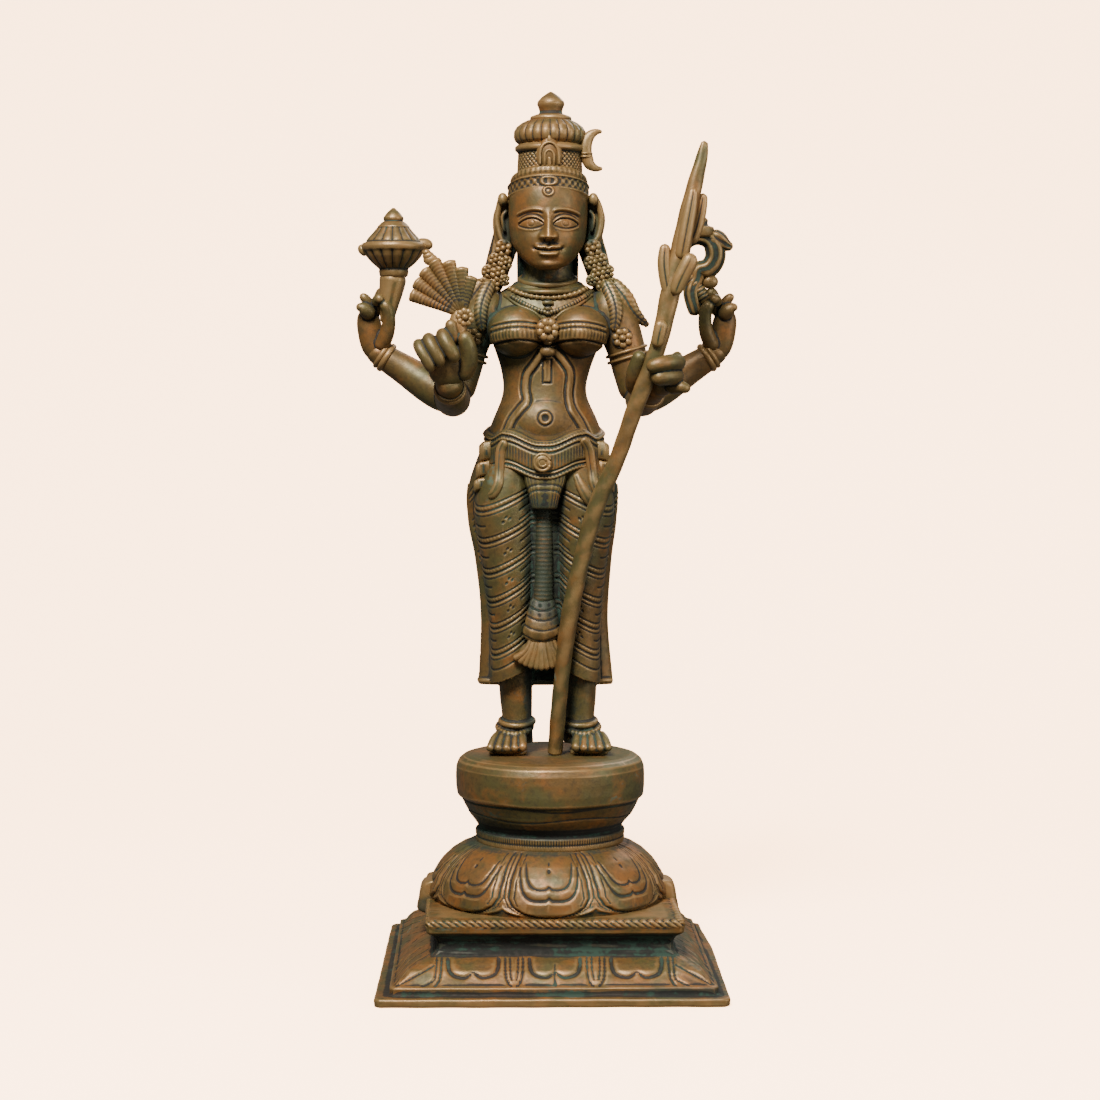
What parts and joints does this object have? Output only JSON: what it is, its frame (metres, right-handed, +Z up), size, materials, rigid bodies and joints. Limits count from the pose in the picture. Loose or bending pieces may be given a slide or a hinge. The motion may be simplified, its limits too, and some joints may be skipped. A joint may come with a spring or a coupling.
{
  "type": "standing goddess idol",
  "caption": "Cast bronze four-armed goddess on a drum seat and square lotus plinth, with a crown, a goad, a noose, a fan of flower arrows and a sugarcane staff.",
  "frame": {"origin": "middle of the plinth's flat underside, where the idol stands", "axes": "+Z up through the crown, the goddess faces -Y, +X is to the viewer's right"},
  "size_m": [0.1898, 0.1686, 0.438],
  "materials": {
    "plinth_bronze": "aged satin bronze, green in the hollows",
    "figure_bronze": "aged satin bronze, rubbed bright on raised edges",
    "staff_bronze": "aged satin bronze"
  },
  "bodies": {
    "root": {"lotus_plinth": "plinth_bronze", "goddess_figure": "figure_bronze", "sugarcane_staff": "staff_bronze"}
  },
  "joints": []
}
